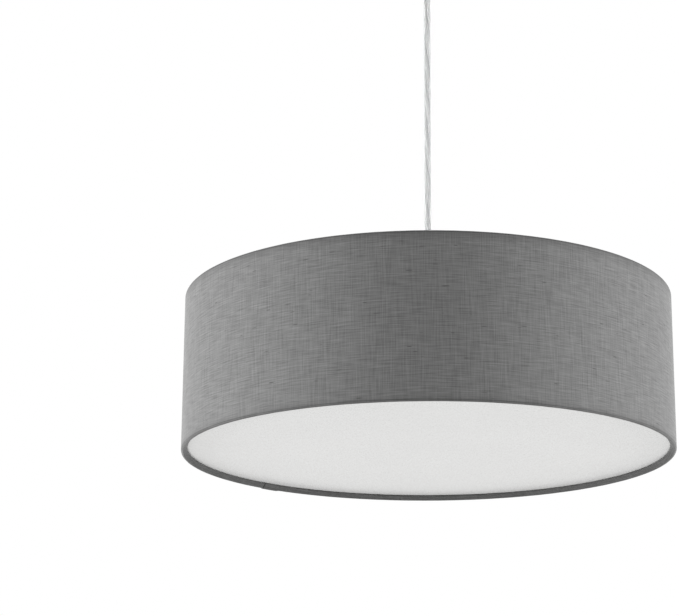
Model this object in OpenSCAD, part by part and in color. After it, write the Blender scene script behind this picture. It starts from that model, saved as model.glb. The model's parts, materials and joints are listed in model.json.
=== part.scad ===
// Drum pendant lamp: ceiling canopy, clear cable, fabric drum shade, three-socket cluster and diffuser.
// Millimetres. The origin is the centre of the ceiling plane, +Z is up and the lamp hangs below it.

/* [Shade] */
// Outside diameter of the fabric drum
shade_d = 381; // [340:1:420]
// Height of the drum from hem to hem
shade_h = 123; // [118:1:150]
// Thickness of the fabric
fabric_t = 0.5; // [0.4:0.1:0.8]
// Thickness of the stiff plastic liner behind the fabric
liner_t = 0.4; // [0.3:0.1:0.6]
// Diameter of the wire in the top and bottom rings
ring_wire_d = 2.2; // [2:0.1:2.6]
// Width of the overlap where the fabric's two ends meet
seam_w = 15; // [8:1:25]
// Direction of the overlap, turned from +X
seam_angle = 135; // [100:1:160]

/* [Diffuser] */
// Thickness of the diffuser disc
diffuser_t = 2; // [1.5:0.1:3]
// How far the folded lip under the diffuser reaches in from the drum's outside
lip_reach = 4.9; // [4.6:0.1:6]
// Height of the lip's top above the bottom hem
lip_h = 4.1; // [3.9:0.1:5]

/* [Spider] */
// Diameter of a spider arm
arm_d = 3.2; // [2.5:0.1:4]
// Diameter of the spider's hub plate
hub_d = 32; // [26:1:40]

/* [Cluster] */
// Diameter of the cup that carries the sockets
cup_d = 64; // [60:1:70]
// Height of the cup
cup_h = 36; // [36:1:44]
// Distance of the cup's top below the shade's top
cup_drop = 25; // [22:1:26]
// Number of sockets is three: angle between neighbours
socket_step = 120; // [120]
// Radius of the bore inside the screw shell
screw_bore_r = 13.35; // [13.3:0.05:13.5]

/* [Canopy] */
// Outside diameter of the canopy
canopy_d = 120; // [112:1:150]
// Height of the canopy
canopy_h = 26; // [24:1:36]
// Radius of the canopy's rounded edge
canopy_edge_r = 8; // [4:1:10]
// Half the distance between the canopy's two studs
stud_x = 24; // [20:1:26]

/* [Crossbar] */
// Length of the crossbar
bar_l = 106; // [104:1:108]
// Width of the crossbar
bar_w = 20; // [16:1:24]
// Thickness of the crossbar
bar_t = 2; // [1.5:0.1:3]
// Distance between the middles of the two slots
slot_pitch = 79.4; // [78:0.1:82]
// Length of a slot from end to end
slot_l = 16; // [12:1:16]
// Width of a slot
slot_w = 4.8; // [4:0.1:5]

/* [Cable] */
// Outside diameter of the clear cable
cable_d = 5.2; // [4.8:0.1:5.4]
// Diameter of one insulated core
core_d = 1.9; // [1.6:0.1:2]

/* [Hidden] */
$fn = 96;
eps = 0.01;
fine = 180;

// The cable's middle line from the gland to the grip, held straight by the lamp's weight
cable_route = [
    [0, 0, -47], [0, 0, -60], [0, 0, -75], [0, 0, -90], [0, 0, -105], [0, 0, -120],
    [0, 0, -135], [0, 0, -150], [0, 0, -165], [0, 0, -180], [0, 0, -195], [0, 0, -210],
    [0, 0, -225], [0, 0, -240], [0, 0, -255], [0, 0, -270], [0, 0, -285], [0, 0, -296]
];
// Middle lines of the cores inside the canopy, from the end of the cable's sheath to their connectors
live_route = [[-1.2, 0.6, -12], [-1.6, 2, -10.5], [-4, 6, -10], [-8, 10, -11], [-12, 14, -12.5], [-16, 18, -13]];
neutral_route = [[1.2, 0.6, -12], [1.6, 2, -10.5], [4, 6, -10], [8, 10, -11], [12, 14, -12.5], [16, 18, -13]];
earth_route = [[0, -1.2, -12], [1, -3, -10], [4, -5.4, -8], [8, -6.6, -7], [11, -6.6, -5.6], [12, -5.6, -4.2]];

// The cable's pivot in the gland mouth, and the free cable below it
mouth_z = -canopy_h - 18;
cable_r = cable_d / 2;
core_r = core_d / 2;
cable_end = cable_route[len(cable_route) - 1][2];
cable_in_grip = 4;
part_gap = 0.3;

// Heights of the lamp, all hung from the cable's lower end
grip_top = cable_end + cable_in_grip;
grip_h = 25;
grip_base_h = 14;
gland_base_h = 7;
neck_h = 7;
nut_h = 5;
ring_r = ring_wire_d / 2;
wrap_r = ring_r + fabric_t;
fold_r = ring_r + 0.02;
arc_steps = 12;
arm_r = arm_d / 2;
shade_top = grip_top - 27;
shade_bottom = shade_top - shade_h;
shade_r = shade_d / 2;
ring_centre_r = shade_r - wrap_r;
liner_r = shade_r - fabric_t;
arm_z = shade_top - wrap_r;
hub_t = 2;
hub_top = arm_z - arm_r;
cup_top = shade_top - cup_drop;
cup_bottom = cup_top - cup_h;
cup_r = cup_d / 2;
cup_wall = 1;
socket_z = cup_top - cup_h / 2;
stem_r = 4.9;
stem_bore_r = 3.4;
stem_top = grip_top - grip_h + 9;
stem_bottom = cup_top - 9;

// Lip and ledge that hold the diffuser
lip_r = shade_r - lip_reach;
ledge_t = 0.8;
ledge_bottom = shade_bottom + wrap_r + ring_r + 0.1;
ledge_outer_r = liner_r - liner_t - 0.2;
ledge_h = 6;
diffuser_r = ledge_outer_r - ledge_t - 0.2;
diffuser_bottom = shade_bottom + lip_h + 0.2;

// Distances along a socket's axis from the lamp's middle
socket_back = cup_r + 0.2;
socket_floor = 44;
contact_floor = 50;
shell_seat = 53.1;
shell_mouth = 77.6;
socket_mouth = 84;
socket_r = 17.5;
socket_bore_r = 14.2;
shell_t = 0.5;
shell_floor_t = 0.6;
shell_floor_hole_r = 6;
contact_recess_r = 6.2;
contact_rise = 12;

// Fasteners
stud_r = 1.95;
stud_tip = -canopy_h - 4;
stud_nut_af = 7;
cap_nut_af = 8;
stem_nut_af = 16;
nut_gap = 0.05;

function unit(v) = v / norm(v);
function along(route, i) = unit(route[min(i + 1, len(route) - 1)] - route[max(i - 1, 0)]);

// Round tube swept along a route's own points; side is a direction that the route never takes
module tube(route, r, sides, side) {
    last = len(route) - 1;
    points = [
        for (i = [0:last])
            let (t = along(route, i), u = unit(cross(side, t)), v = cross(t, u))
                for (k = [0:sides - 1])
                    route[i] + r * (cos(360 * k / sides) * u + sin(360 * k / sides) * v)
    ];
    walls = [
        for (i = [0:last - 1])
            for (k = [0:sides - 1])
                let (n = (k + 1) % sides)
                    [i * sides + k, (i + 1) * sides + k, (i + 1) * sides + n, i * sides + n]
    ];
    start_cap = [for (k = [0:sides - 1]) k];
    end_cap = [for (k = [sides - 1:-1:0]) last * sides + k];
    polyhedron(points, concat(walls, [start_cap, end_cap]), convexity = 4);
}

// Ring of rectangular section between two heights
module band(inner, outer, low, high) {
    rotate_extrude($fn = fine)
        translate([inner, low])
            square([outer - inner, high - low]);
}

// Tube between two heights
module pipe(inner, outer, low, high) {
    translate([0, 0, low])
        difference() {
            cylinder(r = outer, h = high - low);
            translate([0, 0, -eps])
                cylinder(r = inner, h = high - low + 2 * eps);
        }
}

// Hexagonal nut with its lower face at z = 0
module hex_nut(across_flats, height, bore_r) {
    difference() {
        cylinder(d = across_flats / cos(30), h = height, $fn = 6);
        translate([0, 0, -eps])
            cylinder(r = bore_r, h = height + 2 * eps);
    }
}

// Half section of a cup that stands on z = 0 with a rounded lower edge
module cup_half(r, h, edge) {
    square([r - edge, h]);
    translate([0, edge])
        square([r, h - edge]);
    translate([r - edge, edge])
        circle(r = edge);
}

// Open cup with a flat floor at z = 0
module open_cup(r, h, edge, wall) {
    rotate_extrude($fn = fine)
        intersection() {
            square([r, h]);
            difference() {
                cup_half(r, h, edge);
                translate([0, wall])
                    cup_half(r - wall, h, edge - wall);
            }
        }
}

// Turns a child whose axis is +Z so that it points out along socket number i
module at_socket(i) {
    rotate([0, 0, socket_step * i])
        translate([0, 0, socket_z])
            rotate([0, 90, 0])
                children();
}

// Body of a cable grip that stands on z = 0, mouth upwards, with a threaded neck
module grip_shell(base_h) {
    difference() {
        union() {
            cylinder(r = 8, h = base_h);
            cylinder(r = 5.6, h = base_h + neck_h);
        }
        translate([0, 0, -eps])
            cylinder(r = 2.8, h = base_h);
        translate([0, 0, base_h - 2])
            cylinder(r = 4.3, h = neck_h + 2 + eps);
    }
}

// Rounded cap that screws over the neck; mouth_r is the radius of its flared mouth
module grip_dome(base_h, mouth_r) {
    translate([0, 0, base_h + part_gap])
        rotate_extrude()
            difference() {
                intersection() {
                    square([7.8, 10.7]);
                    union() {
                        square([4.8, 10.7]);
                        square([7.8, 7.7]);
                        translate([4.8, 7.7])
                            circle(r = 3);
                    }
                }
                translate([0, -eps])
                    square([5.7, 7.1]);
                polygon([[0, 0], [3.2, 0], [3.2, 8.7], [mouth_r, 10.7 + eps], [0, 10.7 + eps]]);
            }
}

// Rubber sleeve that the cap squeezes on to the cable
module grip_rubber(base_h) {
    pipe(cable_r + 0.15, 4.2, base_h - 1.8, base_h + neck_h);
}

// Turns the grip shapes over and puts them under the canopy, mouth down
module under_canopy() {
    translate([0, 0, -canopy_h])
        mirror([0, 0, 1])
            children();
}

module crossbar() {
    color("silver")
        difference() {
            translate([-bar_l / 2, -bar_w / 2, -bar_t])
                cube([bar_l, bar_w, bar_t]);
            for (side = [-1, 1]) {
                translate([side * stud_x, 0, -bar_t - eps])
                    cylinder(r = 2, h = bar_t + 2 * eps);
                for (end = [-1, 1])
                    translate([side * slot_pitch / 2 + end * (slot_l - slot_w) / 2, 0, -bar_t - eps])
                        cylinder(d = slot_w, h = bar_t + 2 * eps);
                translate([side * slot_pitch / 2 - (slot_l - slot_w) / 2, -slot_w / 2, -bar_t - eps])
                    cube([slot_l - slot_w, slot_w, bar_t + 2 * eps]);
            }
            translate([12, 0, -bar_t - eps])
                cylinder(r = 2, h = bar_t + 2 * eps);
        }
}

module crossbar_studs() {
    color("silver")
        for (side = [-1, 1])
            translate([side * stud_x, 0, stud_tip])
                cylinder(r = stud_r, h = -0.2 - stud_tip);
}

module stud_nuts() {
    color("silver")
        for (side = [-1, 1])
            translate([side * stud_x, 0, -bar_t - nut_gap - 3])
                hex_nut(stud_nut_af, 3, 2);
}

module cap_nuts() {
    color("lightgrey")
        for (side = [-1, 1])
            translate([side * stud_x, 0, -canopy_h - nut_gap])
                mirror([0, 0, 1])
                    difference() {
                        union() {
                            cylinder(d = cap_nut_af / cos(30), h = 3, $fn = 6);
                            translate([0, 0, 3])
                                intersection() {
                                    sphere(r = 3.8);
                                    translate([0, 0, 2 - eps])
                                        cube([8, 8, 4], center = true);
                                }
                        }
                        translate([0, 0, -eps])
                            cylinder(r = 2, h = 5);
                    }
}

module ground_screw() {
    color("green")
        translate([12, 0, 0]) {
            translate([0, 0, -bar_t - 4])
                cylinder(r = 1.95, h = bar_t + 3.8);
            translate([0, 0, -bar_t - nut_gap - 3])
                cylinder(d = 8 / cos(30), h = 3, $fn = 6);
        }
}

module canopy_cup() {
    color("gainsboro")
        difference() {
            translate([0, 0, -canopy_h])
                open_cup(canopy_d / 2, canopy_h, canopy_edge_r, cup_wall);
            translate([0, 0, -canopy_h - 1])
                cylinder(r = 5.1, h = 3);
            for (side = [-1, 1])
                translate([side * stud_x, 0, -canopy_h - 1])
                    cylinder(r = 2.4, h = 3);
        }
}

module gland_body() {
    color("silver")
        difference() {
            union() {
                under_canopy()
                    translate([0, 0, nut_gap])
                        grip_shell(gland_base_h);
                translate([0, 0, -canopy_h - 1])
                    cylinder(r = stem_r, h = 9);
            }
            translate([0, 0, -canopy_h - 3])
                cylinder(r = 2.8, h = 12);
        }
}

module gland_cap() {
    color("silver")
        under_canopy()
            grip_dome(gland_base_h, 3.9);
}

module gland_sleeve() {
    color("dimgrey")
        under_canopy()
            grip_rubber(gland_base_h);
}

module gland_nut() {
    color("silver")
        translate([0, 0, -canopy_h + cup_wall + nut_gap])
            hex_nut(14, 4, 5);
}

module cable_tail() {
    color("whitesmoke")
        translate([0, 0, mouth_z + 3])
            cylinder(r = cable_r, h = -13 - mouth_z - 3);
}

module core_tails() {
    color("white")
        tube(live_route, core_r, 8, [0.1, 0.2, 1]);
    color("black")
        tube(neutral_route, core_r, 8, [0.1, 0.2, 1]);
    color("green")
        tube(earth_route, core_r, 8, [0.6, 0.8, 0.3]);
}

module wire_connectors() {
    color("orange")
        for (side = [-1, 1])
            translate([side * 16.6, 18.6, -13])
                rotate([0, 90, 90 - side * 42])
                    difference() {
                        union() {
                            cylinder(r = 6, h = 4);
                            translate([0, 0, 4])
                                cylinder(r1 = 6, r2 = 4, h = 14);
                        }
                        translate([0, 0, -eps])
                            cylinder(r = 2.4, h = 10);
                    }
}

// Rounded piece of cable that stands for the bend in the gland mouth
module cable_bend() {
    color("whitesmoke")
        translate([0, 0, mouth_z])
            sphere(r = cable_r);
}

module pendant_cable() {
    color("whitesmoke")
        tube(cable_route, cable_r, 10, [1, 0, 0]);
}

module grip_body() {
    color("silver")
        translate([0, 0, grip_top - grip_h])
            difference() {
                grip_shell(grip_base_h);
                translate([0, 0, -eps])
                    cylinder(r = stem_r + nut_gap, h = 9 + nut_gap);
                translate([0, 0, 10.6])
                    rotate([0, 90, 0])
                        cylinder(r = 1.5, h = 9);
            }
}

module grip_cap() {
    color("silver")
        translate([0, 0, grip_top - grip_h])
            grip_dome(grip_base_h, 3.4);
}

module grip_sleeve() {
    color("dimgrey")
        translate([0, 0, grip_top - grip_h])
            grip_rubber(grip_base_h);
}

module grip_screw() {
    color("white")
        translate([cable_r + 0.1, 0, grip_top - grip_h + 10.6])
            rotate([0, 90, 0])
                difference() {
                    union() {
                        cylinder(r = 1.45, h = 6);
                        translate([0, 0, 5.5])
                            cylinder(r = 2.6, h = 2.2);
                    }
                    translate([-0.4, -3, 6.9])
                        cube([0.8, 6, 1]);
                }
}

module lamp_cable_tail() {
    color("whitesmoke")
        translate([0, 0, stem_bottom + 1])
            cylinder(r = cable_r, h = cable_end - part_gap - stem_bottom - 1);
}

module lamp_cores() {
    color("white")
        for (angle = [90, 210, 330])
            rotate([0, 0, angle])
                translate([1.3, 0, socket_z + 6.1])
                    cylinder(r = core_r, h = stem_bottom - socket_z - 5.3);
}

module stem_tube() {
    color("silver")
        pipe(stem_bore_r, stem_r, stem_bottom, stem_top);
}

module stem_nuts() {
    color("silver") {
        translate([0, 0, hub_top + nut_gap])
            hex_nut(stem_nut_af, nut_h - 0.2, stem_r + nut_gap);
        translate([0, 0, hub_top - hub_t - nut_gap - nut_h])
            hex_nut(stem_nut_af, nut_h, stem_r + nut_gap);
        translate([0, 0, cup_top + nut_gap])
            hex_nut(stem_nut_af, nut_h, stem_r + nut_gap);
        translate([0, 0, cup_top - cup_wall - nut_gap - nut_h])
            hex_nut(stem_nut_af, nut_h, stem_r + nut_gap);
    }
}

module spider_hub() {
    color("silver")
        pipe(stem_r + 0.25, hub_d / 2, hub_top - hub_t, hub_top);
}

module spider_arms() {
    color("silver")
        for (i = [0:2])
            rotate([0, 0, socket_step * i + socket_step / 2])
                translate([9.6, 0, arm_z])
                    rotate([0, 90, 0])
                        cylinder(r = arm_r, h = ring_centre_r - ring_r - 9.7);
}

module top_ring() {
    color("silver")
        rotate_extrude($fn = fine)
            translate([ring_centre_r, shade_top - wrap_r])
                circle(r = ring_r);
}

// Points of an arc about the origin, from one angle to another
function arc(r, from, to) = [for (i = [0:arc_steps]) let (a = from + (to - from) * i / arc_steps) r * [cos(a), sin(a)]];

// Fabric folded over the top ring and glued down inside the liner
module top_hem() {
    color("dimgrey")
        rotate_extrude($fn = fine)
            translate([ring_centre_r, shade_top - wrap_r])
                polygon(concat(
                    arc(wrap_r, 0, 180),
                    [[-wrap_r, -1.1], [0.2, -3.8], [0.2, -11], [0.7, -11], [0.7, -3.6], [-fold_r, -0.9]],
                    arc(fold_r, 180, 0)
                ));
}

module cluster_cup() {
    color("gainsboro")
        difference() {
            translate([0, 0, cup_top])
                mirror([0, 0, 1])
                    open_cup(cup_r, cup_h, 4, cup_wall);
            translate([0, 0, cup_top - 2])
                cylinder(r = stem_r + 0.25, h = 3);
            for (i = [0:2])
                at_socket(i)
                    translate([0, 0, cup_r - 4])
                        cylinder(r = 4.9, h = 6);
        }
}

// Plate that closes the cup from below
module cluster_cover() {
    color("gainsboro")
        translate([0, 0, cup_bottom - 1.3])
            difference() {
                cylinder(r = cup_r, h = 1.2);
                for (side = [-1, 1])
                    translate([0, side * 20, -eps])
                        cylinder(r = 1.8, h = 2);
            }
}

module cover_screws() {
    color("silver")
        for (side = [-1, 1])
            translate([0, side * 20, cup_bottom - 1.35]) {
                difference() {
                    translate([0, 0, -1.8])
                        cylinder(r1 = 2.2, r2 = 3.1, h = 1.8);
                    translate([-0.4, -4, -2])
                        cube([0.8, 8, 0.9]);
                }
                translate([0, 0, -0.1])
                    cylinder(r = 1.5, h = 8);
            }
}

// Threaded posts that hang from the cup's top and take the cover's screws
module cover_posts() {
    color("silver")
        for (side = [-1, 1])
            translate([0, side * 20, cup_bottom + 0.1])
                difference() {
                    cylinder(r = 3, h = cup_h - cup_wall - 0.1);
                    translate([0, 0, -eps])
                        cylinder(r = 1.55, h = 9);
                }
}

module terminal_block() {
    color("ivory")
        translate([0, 0, socket_z - 8])
            difference() {
                cylinder(r = 11, h = 14);
                for (angle = [30:60:330])
                    rotate([0, 0, angle])
                        translate([7, 0, 9])
                            cylinder(r = 1.6, h = 6);
            }
}

module socket_leads() {
    color("white")
        for (i = [0:2])
            for (side = [-1, 1])
                at_socket(i)
                    translate([0, side * 1.4, 11.1])
                        cylinder(r = core_r, h = 29);
}

module socket_nipples() {
    color("silver")
        for (i = [0:2])
            at_socket(i)
                pipe(stem_bore_r, 4.8, 26.5, 41);
}

module socket_nuts() {
    color("silver")
        for (i = [0:2])
            at_socket(i)
                translate([0, 0, 27])
                    hex_nut(12, 2.9, 4.85);
}

module socket_cap(i) {
    color("ivory")
        at_socket(i)
            rotate_extrude()
                polygon([
                    [4.9, socket_back], [9, socket_back], [11, socket_back + 2], [socket_r - 1, 41],
                    [socket_r, 42.5], [socket_r, 43.9], [14, 43.9], [14, 42.9], [4.9, 36]
                ]);
}

module socket_body(i) {
    color("ivory")
        at_socket(i)
            difference() {
                rotate_extrude()
                    polygon([
                        [0, socket_floor], [socket_r, socket_floor], [socket_r, 52], [socket_r - 0.8, 53],
                        [socket_r - 0.8, 80], [socket_r, 81], [socket_r, 83], [socket_r - 1, socket_mouth],
                        [socket_bore_r + 0.6, socket_mouth], [socket_bore_r, 83.4],
                        [socket_bore_r, shell_seat], [contact_recess_r, shell_seat],
                        [contact_recess_r, contact_floor], [0, contact_floor]
                    ]);
                translate([0, 0, socket_floor - eps])
                    cylinder(r = 1.6, h = 7);
            }
}

module screw_shell(i) {
    color("khaki")
        at_socket(i) {
            pipe(screw_bore_r, screw_bore_r + shell_t, shell_seat + 0.1, shell_mouth);
            pipe(shell_floor_hole_r, screw_bore_r + shell_t, shell_seat + 0.1, shell_seat + 0.1 + shell_floor_t);
        }
}

// Rivet through the socket's floor, with a spring strip that rises from it to just under the screw shell's floor
module centre_contact(i) {
    color("goldenrod")
        at_socket(i) {
            translate([0, 0, socket_floor])
                cylinder(r = 1.5, h = 7.4);
            translate([-3, -2, 51])
                rotate([0, -contact_rise, 0])
                    cube([8.4, 4, 0.5]);
        }
}

module shade_liner() {
    color("white")
        band(liner_r - liner_t, liner_r, shade_bottom + 2 * wrap_r, shade_top - 2 * wrap_r);
}

module shade_fabric() {
    color("dimgrey")
        band(liner_r, shade_r, shade_bottom + wrap_r, shade_top - wrap_r);
}

module seam_strip() {
    half_angle = 90 * seam_w / (PI * shade_r);
    color("dimgrey")
        rotate([0, 0, seam_angle - half_angle])
            rotate_extrude(angle = 2 * half_angle, $fn = fine)
                translate([shade_r, shade_bottom + wrap_r])
                    square([0.4, shade_h - 2 * wrap_r]);
}

module bottom_ring() {
    color("silver")
        rotate_extrude($fn = fine)
            translate([ring_centre_r, shade_bottom + wrap_r])
                circle(r = ring_r);
}

// Angle-section ring on the bottom wire that carries the diffuser
module diffuser_ledge() {
    color("silver") {
        band(lip_r + 0.6, ledge_outer_r, ledge_bottom, ledge_bottom + ledge_t);
        band(ledge_outer_r - ledge_t, ledge_outer_r, ledge_bottom, ledge_bottom + ledge_h);
    }
}

// Fabric folded round the bottom ring and over the ledge's edge
module bottom_hem() {
    lip = lip_r - ring_centre_r;
    low = ledge_bottom - shade_bottom - wrap_r;
    high = low + ledge_t + 0.05;
    top = lip_h - wrap_r;
    color("dimgrey")
        rotate_extrude($fn = fine)
            translate([ring_centre_r, shade_bottom + wrap_r])
                polygon(concat(
                    arc(wrap_r, 0, -180),
                    [[lip, low], [lip, top - 0.3], [lip + 0.3, top], [lip + 1.7, top], [lip + 1.7, high]],
                    [[lip + 0.5, high], [lip + 0.5, low - 0.05], [-fold_r, low - 0.4]],
                    arc(fold_r, -180, 0)
                ));
}

module diffuser() {
    color("white")
        rotate_extrude($fn = fine)
            polygon([
                [0, diffuser_bottom], [diffuser_r - 0.3, diffuser_bottom], [diffuser_r, diffuser_bottom + 0.3],
                [diffuser_r, diffuser_bottom + diffuser_t - 0.3],
                [diffuser_r - 0.3, diffuser_bottom + diffuser_t], [0, diffuser_bottom + diffuser_t]
            ]);
}

crossbar();
crossbar_studs();
stud_nuts();
cap_nuts();
ground_screw();
canopy_cup();
gland_body();
gland_cap();
gland_sleeve();
gland_nut();
cable_tail();
core_tails();
wire_connectors();
cable_bend();
pendant_cable();
grip_body();
grip_cap();
grip_sleeve();
grip_screw();
lamp_cable_tail();
lamp_cores();
stem_tube();
stem_nuts();
spider_hub();
spider_arms();
top_ring();
top_hem();
cluster_cup();
cluster_cover();
cover_screws();
cover_posts();
terminal_block();
socket_leads();
socket_nipples();
socket_nuts();
socket_cap(0);  // socket_cap_1
socket_cap(1);  // socket_cap_2
socket_cap(2);  // socket_cap_3
socket_body(0);  // socket_body_1
socket_body(1);  // socket_body_2
socket_body(2);  // socket_body_3
screw_shell(0);  // screw_shell_1
screw_shell(1);  // screw_shell_2
screw_shell(2);  // screw_shell_3
centre_contact(0);  // centre_contact_1
centre_contact(1);  // centre_contact_2
centre_contact(2);  // centre_contact_3
shade_liner();
shade_fabric();
seam_strip();
bottom_ring();
diffuser_ledge();
bottom_hem();
diffuser();
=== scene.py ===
# Drum pendant lamp: a linen drum on a wire spider, an opal diffuser, a clear cable and its ceiling canopy.
# Metres, +Z up, the ceiling at zero. The frame gives every place and size; this script gives the looks.
import json
import math

import bmesh
import bpy
from mathutils import Matrix, Vector


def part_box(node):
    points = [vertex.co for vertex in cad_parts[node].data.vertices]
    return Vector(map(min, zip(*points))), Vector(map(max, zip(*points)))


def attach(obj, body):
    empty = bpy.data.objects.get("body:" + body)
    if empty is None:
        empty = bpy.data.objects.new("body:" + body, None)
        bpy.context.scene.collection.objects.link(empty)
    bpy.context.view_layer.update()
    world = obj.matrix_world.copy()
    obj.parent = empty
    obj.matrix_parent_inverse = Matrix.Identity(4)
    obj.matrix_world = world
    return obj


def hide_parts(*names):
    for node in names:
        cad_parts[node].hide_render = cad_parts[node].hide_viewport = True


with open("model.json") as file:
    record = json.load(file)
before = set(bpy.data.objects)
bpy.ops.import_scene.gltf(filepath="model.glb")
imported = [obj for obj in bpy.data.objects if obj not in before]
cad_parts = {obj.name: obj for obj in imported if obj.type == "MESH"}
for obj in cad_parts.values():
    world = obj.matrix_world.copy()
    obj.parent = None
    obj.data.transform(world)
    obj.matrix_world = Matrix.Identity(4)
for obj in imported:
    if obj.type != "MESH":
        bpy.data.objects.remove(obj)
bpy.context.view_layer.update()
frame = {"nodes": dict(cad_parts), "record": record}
cadNodes = frame["nodes"]
mm = 0.001
mergeDistance = 0.002 * mm      # points closer than this are one point
print("frame loaded:", len(cadNodes), "nodes")


def clearSelection():
    if bpy.context.object is not None and bpy.context.object.mode != "OBJECT":
        bpy.ops.object.mode_set(mode="OBJECT")
    bpy.ops.object.select_all(action="DESELECT")


def activate(piece):
    clearSelection()
    piece.select_set(True)
    bpy.context.view_layer.objects.active = piece


def editAll(piece):
    activate(piece)
    bpy.ops.object.mode_set(mode="EDIT")
    bpy.ops.mesh.select_all(action="SELECT")


def applyModifier(piece, kind, **settings):
    activate(piece)
    modifier = piece.modifiers.new(kind.lower(), kind)
    for name, value in settings.items():
        setattr(modifier, name, value)
    bpy.ops.object.modifier_apply(modifier=modifier.name)


def joinPieces(pieces):
    clearSelection()
    for piece in pieces:
        piece.select_set(True)
    bpy.context.view_layer.objects.active = pieces[0]
    bpy.ops.object.join()
    return pieces[0]


def copyPiece(piece, matrix):
    made = piece.copy()
    made.data = piece.data.copy()          # its own mesh, so that its place can go into it
    bpy.context.scene.collection.objects.link(made)
    made.data.transform(matrix)
    return made


def tidyNormals(piece):
    editAll(piece)
    bpy.ops.mesh.remove_doubles(threshold=mergeDistance)
    bpy.ops.mesh.normals_make_consistent(inside=False)
    bpy.ops.object.mode_set(mode="OBJECT")


def finishPiece(piece, name, material, body, replaced=(), smoothAngle=35):
    piece.name = name
    piece.data.name = name
    activate(piece)
    bpy.ops.object.transform_apply(location=True, rotation=True, scale=True)
    bpy.ops.object.shade_smooth_by_angle(angle=math.radians(smoothAngle))
    piece.data.materials.clear()
    piece.data.materials.append(material)
    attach(piece, body)
    if replaced:
        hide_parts(*replaced)
    clearSelection()
    return piece


camera = {
    "distance": 1.5722,      # from the lamp's middle line, straight ahead
    "belowHem": 0.3217,      # the eye is this far under the bottom hem
    "lookUp": 15.67,         # degrees
    "lean": 0.22,            # degrees, the right side stands a little high
    "lens": 109.76,
    "sensor": 36,
    "shift": -0.1308,        # the lamp hangs right of the frame's middle
}


def addCamera():
    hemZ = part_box("bottom_hem")[0].z
    data = bpy.data.cameras.new("viewCamera")
    data.lens = camera["lens"]
    data.sensor_width = camera["sensor"]
    data.shift_x = camera["shift"]
    made = bpy.data.objects.new("viewCamera", data)
    bpy.context.scene.collection.objects.link(made)
    made.location = (0, -camera["distance"], hemZ - camera["belowHem"])
    up = Matrix.Rotation(math.radians(90 + camera["lookUp"]), 3, "X")
    lean = Matrix.Rotation(math.radians(-camera["lean"]), 3, "Z")
    made.rotation_euler = (up @ lean).to_euler()
    bpy.context.scene.camera = made


addCamera()
print("camera placed")


def linear(code):
    channels = [int(code[i:i + 2], 16) / 255 for i in (1, 3, 5)]
    curved = [c / 12.92 if c <= 0.04045 else ((c + 0.055) / 1.055) ** 2.4 for c in channels]
    return (*curved, 1)


def setInputs(tree, node, inputs):
    # a socket is linked to the input, and any other value is set on the input itself
    for name, value in inputs.items():
        if isinstance(value, bpy.types.NodeSocket):
            tree.links.new(value, node.inputs[name])
        else:
            node.inputs[name].default_value = value


def addNode(tree, kind, settings, inputs):
    made = tree.nodes.new(kind)
    for name, value in settings.items():
        setattr(made, name, value)
    setInputs(tree, made, inputs)
    return made


def newMaterial(name):
    material = bpy.data.materials.new(name)
    material.use_nodes = True
    tree = material.node_tree
    return material, tree, tree.nodes["Principled BSDF"]


cable = {
    "diameter": 5.2 * mm,
    "roundness": 10,            # bevel resolution, as for the cores below
    "coreDiameter": 1.7 * mm,
    "coreOffset": 1.2 * mm,     # from the cable's middle line to a core's
    "coreStart": 0.4,           # radians, where the first core stands at the top
    "coreRoundness": 3,
    "coreSteps": 72,
    "coreInset": 0.5 * mm,      # how far the cores stop short of the sheath's ends
    "lay": 100 * mm,            # one full turn of a core
    "exit": (0, 0, -0.044),     # the mouth of the ceiling gland
    "length": 0.253,
}
# The middle line that part.scad gives the cable, pulled straight by the lamp, from inside the gland mouth
cableRoute = [
    (0, 0, -0.0433), (0, 0, -0.060), (0, 0, -0.075), (0, 0, -0.090), (0, 0, -0.105), (0, 0, -0.120),
    (0, 0, -0.135), (0, 0, -0.150), (0, 0, -0.165), (0, 0, -0.180), (0, 0, -0.195), (0, 0, -0.210),
    (0, 0, -0.225), (0, 0, -0.240), (0, 0, -0.255), (0, 0, -0.270), (0, 0, -0.285), (0, 0, -0.296),
]


def flexiblePvc():
    # clear PVC, extruded: soft gloss, a slight milkiness and long faint die lines
    material, tree, shader = newMaterial("clearPvcExtruded")
    place = addNode(tree, "ShaderNodeTexCoord", {}, {})
    dieLines = addNode(tree, "ShaderNodeMapping", {}, {
        "Vector": place.outputs["Object"], "Scale": (1 / (1.1 * mm), 1 / (1.1 * mm), 1 / (80 * mm))})
    grain = addNode(tree, "ShaderNodeTexNoise", {}, {
        "Vector": dieLines.outputs["Vector"], "Scale": 1.0, "Detail": 2.0})
    rough = addNode(tree, "ShaderNodeMapRange", {}, {
        "Value": grain.outputs["Fac"], "To Min": 0.10, "To Max": 0.24})
    bump = addNode(tree, "ShaderNodeBump", {}, {
        "Height": grain.outputs["Fac"], "Strength": 0.12, "Distance": 0.2 * mm})
    setInputs(tree, shader, {
        "Base Color": linear("#dbdcdc"), "Roughness": rough.outputs["Result"],
        "Normal": bump.outputs["Normal"], "IOR": 1.45, "Transmission Weight": 0.93})
    return material


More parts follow.
